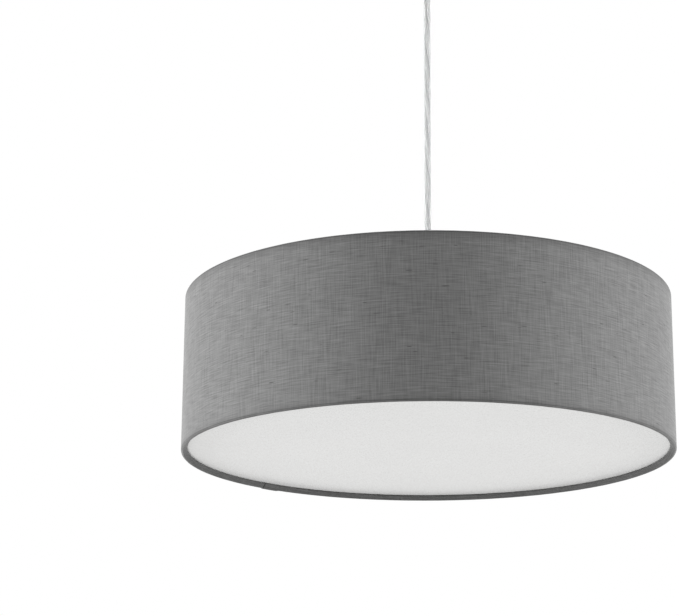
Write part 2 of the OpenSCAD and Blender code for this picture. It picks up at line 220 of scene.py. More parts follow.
def tinnedStrands():
    # tinned copper strands, bunched and drawn: silvery, with the fine slant of the strands along each core
    material, tree, shader = newMaterial("tinnedCopperStranded")
    strandPitch = 0.45 * mm          # real strands are 0.2 mm, too fine to show
    strandSlant = math.radians(24)
    place = addNode(tree, "ShaderNodeTexCoord", {}, {})
    slant = addNode(tree, "ShaderNodeMapping", {}, {
        "Vector": place.outputs["Object"], "Rotation": (0, strandSlant, 0),
        "Scale": (1 / strandPitch, 1 / strandPitch, 1 / (40 * mm))})
    strands = addNode(tree, "ShaderNodeTexNoise", {}, {
        "Vector": slant.outputs["Vector"], "Scale": 1.0, "Detail": 1.0})
    tone = addNode(tree, "ShaderNodeMix", {"data_type": "RGBA"}, {
        "Factor": strands.outputs["Fac"], 6: linear("#c2c3c4"), 7: linear("#f6f6f6")})
    bump = addNode(tree, "ShaderNodeBump", {}, {
        "Height": strands.outputs["Fac"], "Strength": 0.4, "Distance": 0.3 * mm})
    setInputs(tree, shader, {
        "Base Color": tone.outputs[2], "Normal": bump.outputs["Normal"], "Metallic": 0.2, "Roughness": 0.42})
    return material


def addTube(name, points, radius, roundness):
    # a tube along the points, capped and closed
    data = bpy.data.curves.new(name, "CURVE")
    data.dimensions = "3D"
    data.bevel_depth = radius
    data.bevel_resolution = roundness
    data.use_fill_caps = True
    spline = data.splines.new("POLY")
    spline.points.add(len(points) - 1)
    for point, place in zip(spline.points, points):
        point.co = (*place, 1)
    made = bpy.data.objects.new(name, data)
    bpy.context.scene.collection.objects.link(made)
    activate(made)
    bpy.ops.object.convert(target="MESH")
    tube = bpy.context.object
    tidyNormals(tube)
    return tube


def coreRoute(turn):
    top, low = cableRoute[0][2] - cable["coreInset"], cableRoute[-1][2] + cable["coreInset"]
    route = []
    for i in range(cable["coreSteps"] + 1):
        z = top + (low - top) * i / cable["coreSteps"]
        angle = turn + 2 * math.pi * (z - top) / cable["lay"]     # falls on the way down: a left-hand lay
        route.append((cable["coreOffset"] * math.cos(-angle), cable["coreOffset"] * math.sin(-angle), z))
    return route


def makeCable():
    cores = []
    for i in range(3):
        route = coreRoute(2 * math.pi * i / 3 + cable["coreStart"])
        cores.append(addTube("core", route, cable["coreDiameter"] / 2, cable["coreRoundness"]))
    twisted = finishPiece(joinPieces(cores), "cableCores", tinnedStrands(), "cable")
    sheath = addTube("clearCable", cableRoute, cable["diameter"] / 2, cable["roundness"])
    finishPiece(sheath, "clearCable", flexiblePvc(), "cable", ["pendant_cable", "cable_bend"])


makeCable()
print("cable made")


cloth = {
    "thickness": 0.48 * mm,
    "toMiddle": 0.25 * mm,   # from what the cloth lies on to its middle layer
    "lipReach": 3.05 * mm,   # from the bottom wire's middle in to the cloth's turn over the ledge's edge
    "lipTurn": 0.35 * mm,    # radius of that turn
    "overlap": 15 * mm,
    "lapGap": 0.03 * mm,     # of air between the two layers of the overlap
    "seamAngle": 135,        # degrees from +X
    "columns": 400,
    "wallRows": 20,
    "turnRows": 14,          # round each wire
    "tailRows": 2,           # rows of each tail that stray from straight
    "edgeWander": 0.5 * mm,  # how far they stray
    "pucker": 0.05 * mm,     # small gathers where the cloth turns over the rings
}


def arcPoints(centre, radius, start, end, count):
    angles = [math.radians(start + (end - start) * i / count) for i in range(count + 1)]
    return [(centre[0] + radius * math.cos(a), centre[1] + radius * math.sin(a)) for a in angles]


def clothSection():
    # The path of the cloth's middle layer, as distance from the axis and height: from its lower tail on the
    # ledge, under the bottom wire, up the drum, over the top wire and down to its upper tail
    topBox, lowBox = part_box("top_ring"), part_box("bottom_ring")
    hem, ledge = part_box("bottom_hem"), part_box("diffuser_ledge")
    wire = (topBox[1].z - topBox[0].z) / 2
    radius = wire + cloth["toMiddle"]
    top = (topBox[1].x - wire, topBox[1].z - wire)       # middle of the top wire's section
    low = (lowBox[1].x - wire, lowBox[1].z - wire)
    lipIn, lipTurn = low[0] - cloth["lipReach"], cloth["lipTurn"]
    lipTop = hem[1].z - cloth["toMiddle"]
    tail = [(lipIn + 1.45 * mm, lipTop), (lipIn + 0.75 * mm, lipTop)]
    fold = arcPoints((lipIn + lipTurn, lipTop - lipTurn), lipTurn, 90, 180, 4)
    under = [(lipIn, ledge[0].z + cloth["toMiddle"]), (lipIn + 0.15 * mm, ledge[0].z - 0.05 * mm)]
    around = arcPoints(low, radius, -172, 0, cloth["turnRows"])
    rows = cloth["wallRows"]
    wall = [(low[0] + radius, low[1] + (top[1] - low[1]) * i / rows) for i in range(1, rows)]
    over = arcPoints(top, radius, 0, 180, cloth["turnRows"])
    inside = [(-radius, -1.0 * mm), (-0.75 * mm, -2.0 * mm), (0.2 * mm, -3.3 * mm), (0.42 * mm, -4.2 * mm)]
    inside += [(0.42 * mm, -step * mm) for step in (5.5, 7, 8.5, 10, 10.9)]
    return tail + fold + under + around + wall + over + [(top[0] + x, top[1] + z) for x, z in inside]


def sectionNormals(section):
    # outward side of the path: to its right as it climbs the drum
    normals = []
    for i in range(len(section)):
        before, after = section[max(i - 1, 0)], section[min(i + 1, len(section) - 1)]
        along = Vector((after[0] - before[0], after[1] - before[1])).normalized()
        normals.append((along.y, -along.x))
    return normals


def runAlong(section):
    run = [0.0]
    for (x0, z0), (x1, z1) in zip(section, section[1:]):
        run.append(run[-1] + math.hypot(x1 - x0, z1 - z0))
    return run


def makeCloth():
    section = clothSection()
    normals = sectionNormals(section)
    run = runAlong(section)
    wallRadius = max(x for x, z in section)
    overlap = cloth["overlap"]
    width = 2 * math.pi * wallRadius + overlap
    columns, rows = cloth["columns"], len(section)
    onWall = [length for length, (x, z) in zip(run, section) if x > wallRadius - 0.01 * mm]
    material = slubLinen(onWall[0] - 0.3 * mm, onWall[-1] + 0.3 * mm)

    # the cloth is cut flat, as a grid, and then wrapped round the rings
    clearSelection()
    bpy.ops.mesh.primitive_grid_add(x_subdivisions=columns, y_subdivisions=rows - 1, size=1, calc_uvs=True)
    piece = bpy.context.object
    piece.data.uv_layers[0].name = "clothUv"
    uvs = piece.data.uv_layers["clothUv"].data
    for loop in piece.data.loops:
        row, column = divmod(loop.vertex_index, columns + 1)
        uvs[loop.index].uv = (width * column / columns, run[row])

    start = math.radians(cloth["seamAngle"]) - overlap / wallRadius / 2
    for vertex in piece.data.vertices:
        row, column = divmod(vertex.index, columns + 1)
        u = width * column / columns
        angle = start + u / wallRadius
        lifted = min(max((u - (width - overlap - 2 * mm)) / (1.5 * mm), 0), 1)   # the end laps over the start
        turned = abs(section[row][0] - wallRadius) > 0.3 * mm
        gather = math.sin(angle * 61) * math.sin(angle * 23 + 1.3) * cloth["pucker"] * (1 if turned else 0.15)
        lift = lifted * (cloth["thickness"] + cloth["lapGap"]) + gather * 0.5
        x, z = section[row][0] + normals[row][0] * lift, section[row][1] + normals[row][1] * lift
        wander = (math.sin(angle * 17) + 0.6 * math.sin(angle * 43 + 2)) * cloth["edgeWander"]
        if row < cloth["tailRows"]:
            x -= wander * 0.3
        elif row >= rows - cloth["tailRows"]:
            z += wander
        vertex.co = (x * math.cos(angle), x * math.sin(angle), z)

    editAll(piece)
    bpy.ops.mesh.flip_normals()          # wrapped this way round, the grid's faces point at the axis
    bpy.ops.object.mode_set(mode="OBJECT")
    applyModifier(piece, "SOLIDIFY", thickness=cloth["thickness"], offset=0, use_even_offset=False)
    finishPiece(piece, "shadeCloth", material, "lamp",
                ["shade_fabric", "seam_strip", "top_hem", "bottom_hem"], 60)


linen = {
    "threadPitch": 0.6 * mm,         # real threads stand 0.35 mm apart, too fine to show
    "yarnDark": "#4b4b4b",
    "yarnPale": "#696969",
    "slubShade": "#404040",
    # the colour of the painted shade on the turned edges and the wall beside them
    "foldShadePainted": "#2c2c2c",
    # Streaks along the yarns: their size across the cloth and up it, the turn of the pattern's cells, which
    # keeps them from lining up in rows, and the pattern's detail
    "weft": (17 * mm, 0.75 * mm, 0.62, 1.5),
    "warp": (0.85 * mm, 22 * mm, 0.49, 1.5),
    "slub": (9 * mm, 1.3 * mm, 0.55, 0.5),
    "cloud": 12 * mm,
    "warpShare": 0.72,               # of each pattern beside the weft's
    "cloudShare": 0.22,
    "crossingShare": 0.08,
}


def slubLinen(lowTurn, topTurn):
    # linen-look polyester cotton, plain woven from slub yarn: matt, with thick soft places along the yarns,
    # a faint fuzz at grazing angles, and painted shade that darkens the turned edges and the wall beside them
    material, tree, shader = newMaterial("slubLinenWoven")
    flat = addNode(tree, "ShaderNodeUVMap", {"uv_map": "clothUv"}, {})

    streaks = {}
    for yarn in ("weft", "warp", "slub"):
        across, up, turn, detail = linen[yarn]
        place = addNode(tree, "ShaderNodeMapping", {}, {
            "Vector": flat.outputs["UV"], "Rotation": (0, 0, turn), "Scale": (1 / across, 1 / up, 1)})
        streaks[yarn] = addNode(tree, "ShaderNodeTexNoise", {}, {
            "Vector": place.outputs["Vector"], "Scale": 1.0, "Detail": detail}).outputs["Fac"]
    cloud = addNode(tree, "ShaderNodeTexNoise", {}, {
        "Vector": flat.outputs["UV"], "Scale": 1 / linen["cloud"], "Detail": 3.0})
    threads = [addNode(tree, "ShaderNodeTexWave", {"wave_type": "BANDS", "bands_direction": axis}, {
        "Vector": flat.outputs["UV"], "Scale": 2 * math.pi / 20 / linen["threadPitch"],
        "Distortion": 1.5, "Detail": 1.0, "Detail Scale": 0.4}) for axis in "XY"]
    crossing = addNode(tree, "ShaderNodeMath", {"operation": "MULTIPLY"}, {
        0: threads[0].outputs["Fac"], 1: threads[1].outputs["Fac"]})

    # the height of the yarns, which gives both their shade and their bump
    height = streaks["weft"]
    for part, share in ((streaks["warp"], "warpShare"), (cloud.outputs["Fac"], "cloudShare"),
                        (crossing.outputs["Value"], "crossingShare")):
        height = addNode(tree, "ShaderNodeMath", {"operation": "MULTIPLY_ADD"}, {
            0: part, 1: linen[share], 2: height}).outputs["Value"]
    paleness = addNode(tree, "ShaderNodeMapRange", {}, {"Value": height, "From Min": 0.66, "From Max": 1.34})
    yarns = addNode(tree, "ShaderNodeMix", {"data_type": "RGBA"}, {
        "Factor": paleness.outputs["Result"], 6: linear(linen["yarnDark"]), 7: linear(linen["yarnPale"])})
    onSlub = addNode(tree, "ShaderNodeMapRange", {"interpolation_type": "SMOOTHSTEP"}, {
        "Value": streaks["slub"], "From Min": 0.73, "From Max": 0.82})
    slubbed = addNode(tree, "ShaderNodeMix", {"data_type": "RGBA"}, {
        "Factor": onSlub.outputs["Result"], 6: yarns.outputs[2], 7: linear(linen["slubShade"])})

    # painted shade on the turned edges: dark on the folds themselves, and fading over the first few
    # millimetres of the wall
    split = addNode(tree, "ShaderNodeSeparateXYZ", {}, {"Vector": flat.outputs["UV"]})
    fromLow = addNode(tree, "ShaderNodeMath", {"operation": "SUBTRACT"}, {0: split.outputs["Y"], 1: lowTurn})
    fromTop = addNode(tree, "ShaderNodeMath", {"operation": "SUBTRACT"}, {0: topTurn, 1: split.outputs["Y"]})
    inward = addNode(tree, "ShaderNodeMath", {"operation": "MINIMUM"}, {
        0: fromLow.outputs["Value"], 1: fromTop.outputs["Value"]})
    fromFold = addNode(tree, "ShaderNodeMath", {"operation": "ABSOLUTE"}, {0: inward.outputs["Value"]})
    fold = addNode(tree, "ShaderNodeMapRange", {"interpolation_type": "SMOOTHSTEP"}, {
        "Value": fromFold.outputs["Value"], "From Max": 0.55 * mm, "To Min": 0.4, "To Max": 0.0})
    paintedShadeLow = addNode(tree, "ShaderNodeMapRange", {"interpolation_type": "SMOOTHSTEP"}, {
        "Value": fromLow.outputs["Value"], "From Min": -3.5 * mm, "From Max": 5 * mm,
        "To Min": 0.36, "To Max": 0.0})
    paintedShadeTop = addNode(tree, "ShaderNodeMapRange", {}, {
        "Value": fromTop.outputs["Value"], "From Max": 7 * mm, "To Min": 0.34, "To Max": 0.0})
    paintedShadeFade = addNode(tree, "ShaderNodeMath", {"operation": "MAXIMUM"}, {
        0: paintedShadeLow.outputs["Result"], 1: paintedShadeTop.outputs["Result"]})
    paintedEdgeShade = addNode(tree, "ShaderNodeMath", {"operation": "ADD"}, {
        0: fold.outputs["Result"], 1: paintedShadeFade.outputs["Value"]})
    # painted shade: here the yarn colour is darkened towards the painted shade colour
    tone = addNode(tree, "ShaderNodeMix", {"data_type": "RGBA"}, {
        "Factor": paintedEdgeShade.outputs["Value"], 6: slubbed.outputs[2], 7: linear(linen["foldShadePainted"])})

    bump = addNode(tree, "ShaderNodeBump", {}, {"Height": height, "Strength": 0.5, "Distance": 0.2 * mm})
    setInputs(tree, shader, {
        "Base Color": tone.outputs[2], "Normal": bump.outputs["Normal"], "Roughness": 0.92,
        "Specular IOR Level": 0.3, "Sheen Weight": 0.35, "Sheen Roughness": 0.25,
        "Sheen Tint": linear("#e8e8e8")})
    return material


makeCloth()
print("shade cloth made")


def mouldedPlastic(name, colour, roughness, grainSize):
    # injection moulded plastic: an even colour, a low flow cloudiness and the fine grain of an eroded tool
    material, tree, shader = newMaterial(name)
    place = addNode(tree, "ShaderNodeTexCoord", {}, {})
    cloud = addNode(tree, "ShaderNodeTexNoise", {}, {
        "Vector": place.outputs["Object"], "Scale": 1 / (25 * mm), "Detail": 2.0})
    grain = addNode(tree, "ShaderNodeTexNoise", {}, {
        "Vector": place.outputs["Object"], "Scale": 1 / grainSize, "Detail": 3.0})
    tint = addNode(tree, "ShaderNodeMapRange", {}, {
        "Value": cloud.outputs["Fac"], "To Min": 0.94, "To Max": 1.05})
    tone = addNode(tree, "ShaderNodeHueSaturation", {}, {
        "Color": linear(colour), "Value": tint.outputs["Result"]})
    rough = addNode(tree, "ShaderNodeMapRange", {}, {
        "Value": grain.outputs["Fac"], "To Min": roughness - 0.08, "To Max": roughness + 0.08})
    bump = addNode(tree, "ShaderNodeBump", {}, {
        "Height": grain.outputs["Fac"], "Strength": 0.15, "Distance": 0.1 * mm})
    setInputs(tree, shader, {
        "Base Color": tone.outputs["Color"], "Roughness": rough.outputs["Result"],
        "Normal": bump.outputs["Normal"], "IOR": 1.5})
    return material


def platedSteel(name, colour, shade, roughness):
    # electroplated steel: a bright thin coat, slightly clouded, over the fine marks of drawing and stamping
    material, tree, shader = newMaterial(name)
    place = addNode(tree, "ShaderNodeTexCoord", {}, {})
    cloud = addNode(tree, "ShaderNodeTexNoise", {}, {
        "Vector": place.outputs["Object"], "Scale": 1 / (4 * mm), "Detail": 3.0})
    marks = addNode(tree, "ShaderNodeTexNoise", {}, {
        "Vector": place.outputs["Object"], "Scale": 1 / (0.4 * mm), "Detail": 2.0})
    tone = addNode(tree, "ShaderNodeMix", {"data_type": "RGBA"}, {
        "Factor": cloud.outputs["Fac"], 6: linear(colour), 7: linear(shade)})
    rough = addNode(tree, "ShaderNodeMapRange", {}, {
        "Value": cloud.outputs["Fac"], "To Min": roughness - 0.1, "To Max": roughness + 0.12})
    bump = addNode(tree, "ShaderNodeBump", {}, {
        "Height": marks.outputs["Fac"], "Strength": 0.12, "Distance": 0.05 * mm})
    setInputs(tree, shader, {
        "Base Color": tone.outputs[2], "Roughness": rough.outputs["Result"],
        "Normal": bump.outputs["Normal"], "Metallic": 1.0})
    return material


def spunNickel():
    # nickel plate over brass or steel, brushed on a lathe: fine rings round the lamp's middle line
    material, tree, shader = newMaterial("brushedNickelSpun")
    place = addNode(tree, "ShaderNodeTexCoord", {}, {})
    split = addNode(tree, "ShaderNodeSeparateXYZ", {}, {"Vector": place.outputs["Object"]})
    flat = addNode(tree, "ShaderNodeCombineXYZ", {}, {"X": split.outputs["X"], "Y": split.outputs["Y"]})
    radius = addNode(tree, "ShaderNodeVectorMath", {"operation": "LENGTH"}, {0: flat.outputs["Vector"]})
    turned = addNode(tree, "ShaderNodeCombineXYZ", {}, {
        "X": radius.outputs["Value"], "Y": split.outputs["Z"]})
    rings = addNode(tree, "ShaderNodeTexNoise", {}, {
        "Vector": turned.outputs["Vector"], "Scale": 1 / (0.35 * mm), "Detail": 3.0, "Roughness": 0.7})
    stain = addNode(tree, "ShaderNodeTexNoise", {}, {
        "Vector": place.outputs["Object"], "Scale": 1 / (18 * mm), "Detail": 3.0})
    tone = addNode(tree, "ShaderNodeMix", {"data_type": "RGBA"}, {
        "Factor": stain.outputs["Fac"], 6: linear("#bab6ae"), 7: linear("#cbc8c1")})
    rough = addNode(tree, "ShaderNodeMapRange", {}, {
        "Value": rings.outputs["Fac"], "To Min": 0.22, "To Max": 0.42})
    bump = addNode(tree, "ShaderNodeBump", {}, {
        "Height": rings.outputs["Fac"], "Strength": 0.2, "Distance": 0.06 * mm})
    setInputs(tree, shader, {
        "Base Color": tone.outputs[2], "Roughness": rough.outputs["Result"],
        "Normal": bump.outputs["Normal"], "Metallic": 1.0, "Anisotropic": 0.4})
    return material


def powderCoat(name, colour, roughness):
    # polyester powder, baked on: a thick soft white skin with orange peel and a few specks
    material, tree, shader = newMaterial(name)
    place = addNode(tree, "ShaderNodeTexCoord", {}, {})
    peel = addNode(tree, "ShaderNodeTexNoise", {}, {
        "Vector": place.outputs["Object"], "Scale": 1 / (1.4 * mm), "Detail": 1.0})
    drift = addNode(tree, "ShaderNodeTexNoise", {}, {
        "Vector": place.outputs["Object"], "Scale": 1 / (30 * mm), "Detail": 2.0})
    speck = addNode(tree, "ShaderNodeTexVoronoi", {}, {
        "Vector": place.outputs["Object"], "Scale": 1 / (6 * mm)})
    offSpeck = addNode(tree, "ShaderNodeMapRange", {}, {
        "Value": speck.outputs["Distance"], "From Min": 0.03, "From Max": 0.05, "To Min": 0.8, "To Max": 1.0})
    even = addNode(tree, "ShaderNodeMapRange", {}, {
        "Value": drift.outputs["Fac"], "To Min": 0.95, "To Max": 1.04})
    value = addNode(tree, "ShaderNodeMath", {"operation": "MULTIPLY"}, {
        0: offSpeck.outputs["Result"], 1: even.outputs["Result"]})
    tone = addNode(tree, "ShaderNodeHueSaturation", {}, {
        "Color": linear(colour), "Value": value.outputs["Value"]})
    bump = addNode(tree, "ShaderNodeBump", {}, {
        "Height": peel.outputs["Fac"], "Strength": 0.2, "Distance": 0.2 * mm})
    setInputs(tree, shader, {
        "Base Color": tone.outputs["Color"], "Normal": bump.outputs["Normal"],
        "Roughness": roughness, "IOR": 1.5})
    return material


def drawnMetal(name, colour, shade, roughness):
    # thin strip or cup, deep drawn: bright, with short rubbing marks along the draw
    material, tree, shader = newMaterial(name)
    place = addNode(tree, "ShaderNodeTexCoord", {}, {})
    streak = addNode(tree, "ShaderNodeMapping", {}, {
        "Vector": place.outputs["Object"], "Scale": (1 / (4 * mm), 1 / (4 * mm), 1 / (0.45 * mm))})
    marks = addNode(tree, "ShaderNodeTexNoise", {}, {
        "Vector": streak.outputs["Vector"], "Scale": 1.0, "Detail": 2.0})
    tone = addNode(tree, "ShaderNodeMix", {"data_type": "RGBA"}, {
        "Factor": marks.outputs["Fac"], 6: linear(colour), 7: linear(shade)})
    rough = addNode(tree, "ShaderNodeMapRange", {}, {
        "Value": marks.outputs["Fac"], "To Min": roughness - 0.06, "To Max": roughness + 0.08})
    bump = addNode(tree, "ShaderNodeBump", {}, {
        "Height": marks.outputs["Fac"], "Strength": 0.1, "Distance": 0.05 * mm})
    setInputs(tree, shader, {
        "Base Color": tone.outputs[2], "Roughness": rough.outputs["Result"],
        "Normal": bump.outputs["Normal"], "Metallic": 1.0})
    return material


def opalAcrylic():
    # opal acrylic sheet, cast, with one face satined: even white with a soft sheen and no visible grain
    material, tree, shader = newMaterial("opalAcrylicCast")
    place = addNode(tree, "ShaderNodeTexCoord", {}, {})
    pigment = addNode(tree, "ShaderNodeTexNoise", {}, {
        "Vector": place.outputs["Object"], "Scale": 1 / (70 * mm), "Detail": 2.0})
    satin = addNode(tree, "ShaderNodeTexNoise", {}, {
        "Vector": place.outputs["Object"], "Scale": 1 / (0.6 * mm), "Detail": 1.0})
    tone = addNode(tree, "ShaderNodeMix", {"data_type": "RGBA"}, {
        "Factor": pigment.outputs["Fac"], 6: linear("#cecece"), 7: linear("#d3d3d3")})
    rough = addNode(tree, "ShaderNodeMapRange", {}, {
        "Value": satin.outputs["Fac"], "To Min": 0.24, "To Max": 0.32})
    bump = addNode(tree, "ShaderNodeBump", {}, {
        "Height": satin.outputs["Fac"], "Strength": 0.02, "Distance": 0.05 * mm})
    setInputs(tree, shader, {
        "Base Color": tone.outputs[2], "Roughness": rough.outputs["Result"],
        "Normal": bump.outputs["Normal"], "IOR": 1.49})
    return material


finishes = {
    "zinc": platedSteel("zincPlatedSteel", "#c9ccd0", "#b4b8bf", 0.32),
    "satin_nickel": spunNickel(),
    "ring_steel": powderCoat("ringPowderCoated", "#dededb", 0.42),
    "cluster_paint": powderCoat("clusterPowderCoated", "#e9e9e6", 0.36),
    "rubber": mouldedPlastic("nitrileRubberMoulded", "#2b2b2c", 0.75, 0.5 * mm),
    "nylon": mouldedPlastic("naturalNylonMoulded", "#e0ddd2", 0.45, 0.8 * mm),
    "clear_sheath": bpy.data.materials["clearPvcExtruded"],
    "core_insulation": mouldedPlastic("coreInsulationExtruded", "#d9d9d7", 0.5, 1.5 * mm),
    "connector_plastic": mouldedPlastic("connectorPolypropyleneMoulded", "#d9772b", 0.5, 0.9 * mm),
    "terminal_plastic": mouldedPlastic("terminalPolyamideMoulded", "#e2dfd2", 0.5, 0.9 * mm),
    "ground_screw": platedSteel("greenPassivatedSteel", "#3c8a52", "#2c6c3e", 0.4),
    "phenolic": mouldedPlastic("ureaResinMoulded", "#e6e3da", 0.4, 1.1 * mm),
    "shell_aluminium": drawnMetal("aluminiumShellDrawn", "#e0e0e0", "#cfcfd0", 0.36),
    "contact_brass": drawnMetal("brassStripRolled", "#cfa956", "#b38f45", 0.3),
    "liner": mouldedPlastic("styreneLinerCalendered", "#eeeeeb", 0.55, 2.5 * mm),
    "fabric": bpy.data.materials["slubLinenWoven"],
    "opal": opalAcrylic(),
}
for row in frame["record"]["subparts"]:
    data = cadNodes[row["node"]].data
    data.materials.clear()
    data.materials.append(finishes[row["material_slot"]])
print("frame nodes finished")


def solidBoxes(node):
    # the low and high corner of each separate solid of one frame node
    mesh = bmesh.new()
    mesh.from_mesh(cadNodes[node].data)
    mesh.transform(cadNodes[node].matrix_world)
    bmesh.ops.remove_doubles(mesh, verts=mesh.verts, dist=mergeDistance)
    boxes, seen = [], set()
    for first in mesh.verts:
        if first in seen:
            continue
        seen.add(first)
        waiting, found = [first], []
        while waiting:
            vertex = waiting.pop()
            found.append(vertex.co.copy())
            for edge in vertex.link_edges:
                other = edge.other_vert(vertex)
                if other not in seen:
                    seen.add(other)
                    waiting.append(other)
        low = Vector([min(point[i] for point in found) for i in range(3)])
        high = Vector([max(point[i] for point in found) for i in range(3)])
        boxes.append((low, high))
    mesh.free()
    return boxes


def drawProfile(points):
    # an open line in the XZ plane, drawn in millimetres from one vertex by extruding it from point to point
    points = [(x * mm, z * mm) for x, z in points]
    clearSelection()
    bpy.ops.mesh.primitive_plane_add(size=1 * mm)
    piece = bpy.context.object
    bpy.ops.object.mode_set(mode="EDIT")
    bpy.ops.mesh.select_mode(type="VERT")
    bpy.ops.mesh.select_all(action="SELECT")
    bpy.ops.mesh.merge(type="CENTER")
    bpy.ops.transform.translate(value=(points[0][0], 0, points[0][1]))
    for (x0, z0), (x1, z1) in zip(points, points[1:]):
        bpy.ops.mesh.extrude_region_move(TRANSFORM_OT_translate={"value": (x1 - x0, 0, z1 - z0)})
    bpy.ops.object.mode_set(mode="OBJECT")
    return piece


def turnProfile(points, steps):
    # a turned part; the points run round its section, and close on themselves or on the axis
    piece = drawProfile(points)
    editAll(piece)
    bpy.ops.mesh.spin(steps=steps, angle=2 * math.pi, center=(0, 0, 0), axis=(0, 0, 1))
    bpy.ops.object.mode_set(mode="OBJECT")
    tidyNormals(piece)
    return piece


def windProfile(points, pitch, length, steps):
    # a thread wound by the Screw modifier past both ends of its length, which starts at z = 0
    piece = drawProfile(points)
    turns = math.ceil(length / pitch) + 3
    applyModifier(piece, "SCREW", axis="Z", screw_offset=pitch * mm, iterations=turns, steps=steps,
                  render_steps=steps)
    tidyNormals(piece)
    return piece


def cutAcross(piece, place, normal, fill=True):
    # everything on the normal's side is cut away
    editAll(piece)
    bpy.ops.mesh.bisect(plane_co=place, plane_no=normal, use_fill=fill, clear_outer=True,
                        threshold=0.0002 * mm)
    bpy.ops.object.mode_set(mode="OBJECT")


def cutBore(piece, radius, length):
    # a hole along the axis, drilled from 1 mm below the piece to 1 mm above it
    low, high = -1 * mm, (length + 1) * mm
    clearSelection()
    bpy.ops.mesh.primitive_cylinder_add(vertices=32, radius=radius * mm, depth=high - low,
                                        location=(0, 0, (low + high) / 2))
    drill = bpy.context.object
    applyModifier(piece, "BOOLEAN", operation="DIFFERENCE", object=drill, solver="EXACT")
    bpy.data.objects.remove(drill, do_unlink=True)


def pressColumns(piece, shape):
    # every second column of faces round the piece is inset and pressed in, between two heights
    activate(piece)
    bpy.ops.object.mode_set(mode="EDIT")
    bpy.ops.mesh.select_mode(type="FACE")
    bpy.ops.mesh.select_all(action="DESELECT")
    mesh = bmesh.from_edit_mesh(piece.data)
    for face in mesh.faces:
        middle = face.calc_center_median()
        column = int((math.atan2(middle.y, middle.x) / (2 * math.pi) + 1) * shape["steps"])
        onSide = shape["from"] < middle.z < shape["to"] and middle.xy.length > shape["outside"]
        face.select_set(onSide and column % 2 == 0)
    bmesh.update_edit_mesh(piece.data)
    bpy.ops.mesh.inset(thickness=shape["inset"], depth=-shape["depth"], use_individual=True)
    bpy.ops.object.mode_set(mode="OBJECT")
    tidyNormals(piece)


def standing(place, upsideDown=False, stretch=1):
    turn = Matrix.Rotation(math.pi, 4, "X") if upsideDown else Matrix.Identity(4)
    return Matrix.Translation(place) @ turn @ Matrix.Diagonal((1, 1, stretch, 1))


def alongSocket(index, distance, height):
    # lays something that stands on z = 0 along one of the three lamp holders
    return (Matrix.Rotation(math.radians(120 * index), 4, "Z") @ Matrix.Translation((distance, 0, height))
            @ Matrix.Rotation(math.pi / 2, 4, "Y"))


def placeCopies(pattern, matrices, name, body, slotName, replaced=()):
    # what repeats is modelled once, and its copies are joined in one piece
    copies = [copyPiece(pattern, matrix) for matrix in matrices]
    bpy.data.objects.remove(pattern, do_unlink=True)
    finishPiece(joinPieces(copies), name, finishes[slotName], body, replaced)


nuts = {
    # width across flats, height and bore's radius, in millimetres
    "stem": (16, 5, 4.95),
    "gland": (14, 4, 5),
    "stud": (7, 3, 1.98),
    "socket": (12, 2.9, 4.85),
    "cap": (8, 3, 2),
    "sides": 48,
    "chamfer": 0.10,         # share of the width across flats
    "chamferRise": 0.6,      # height of the chamfer, as a share of its width
    "face": 0.97,            # width of the flat face, as a share of the width across flats
    "softening": 0.08 * mm,
    # section of the dome of a cap nut, in millimetres
    "dome": [(0, 6.8), (1.1, 6.65), (2.1, 6.2), (2.9, 5.4), (3.35, 4.4), (3.5, 3.3), (3.5, 2.8), (2.0, 2.8),
             (2.0, 4.9), (0, 4.9)],
    "domeSteps": 36,
}


def makeNut(kind):
    # turned from round bar with chamfered faces, then milled to six flats and drilled; it stands on z = 0
    across, height, bore = nuts[kind]
    corner = across / math.sqrt(3)
    rise = across * nuts["chamfer"] / 2 * nuts["chamferRise"]
    face = across / 2 * nuts["face"]
    section = [(0, 0), (face, 0), (corner, rise), (corner, height - rise), (face, height), (0, height)]
    piece = turnProfile(section, nuts["sides"])
    for i in range(6):
        angle = math.radians(30 + 60 * i)
        normal = (math.cos(angle), math.sin(angle), 0)
        cutAcross(piece, [c * across / 2 * mm for c in normal], normal)
    cutBore(piece, bore, height)
    applyModifier(piece, "BEVEL", width=nuts["softening"], segments=2, limit_method="ANGLE",
                  angle_limit=math.radians(40))
    tidyNormals(piece)
    return piece


def makeNuts():
    modelled = nuts["stem"][1] * mm
    places = []
    for low, high in solidBoxes("stem_nuts"):
        place = ((low.x + high.x) / 2, (low.y + high.y) / 2, low.z)
        places.append(standing(place, stretch=(high.z - low.z) / modelled))
    placeCopies(makeNut("stem"), places, "stemNuts", "lamp", "zinc", ["stem_nuts"])

    low, high = solidBoxes("gland_nut")[0]
    place = standing((0, 0, low.z))
    placeCopies(makeNut("gland"), [place], "glandNut", "ceiling_mount", "zinc", ["gland_nut"])

    places = [standing(((low.x + high.x) / 2, 0, low.z)) for low, high in solidBoxes("stud_nuts")]
    placeCopies(makeNut("stud"), places, "studNuts", "ceiling_mount", "zinc", ["stud_nuts"])

    low, high = solidBoxes("socket_nuts")[0]
    places = [alongSocket(i, low.x, (low.z + high.z) / 2) for i in range(3)]
    placeCopies(makeNut("socket"), places, "socketNuts", "lamp", "zinc", ["socket_nuts"])

    # the canopy's cap nuts are a plain nut with a pressed dome over the stud's end
    capNut = joinPieces([makeNut("cap"), turnProfile(nuts["dome"], nuts["domeSteps"])])
    places = [standing(((low.x + high.x) / 2, 0, high.z), upsideDown=True)
              for low, high in solidBoxes("cap_nuts")]
    placeCopies(capNut, places, "capNuts", "ceiling_mount", "satin_nickel", ["cap_nuts"])


makeNuts()
print("nuts made")


threads = {                  # in millimetres
    "stem": {"depth": 0.38, "pitch": 1.0, "bore": 3.4},
    "nipple": {"radius": 4.8, "depth": 0.38, "pitch": 1.0, "bore": 3.3},
    "stud": {"radius": 1.95, "depth": 0.25, "pitch": 0.7},
}


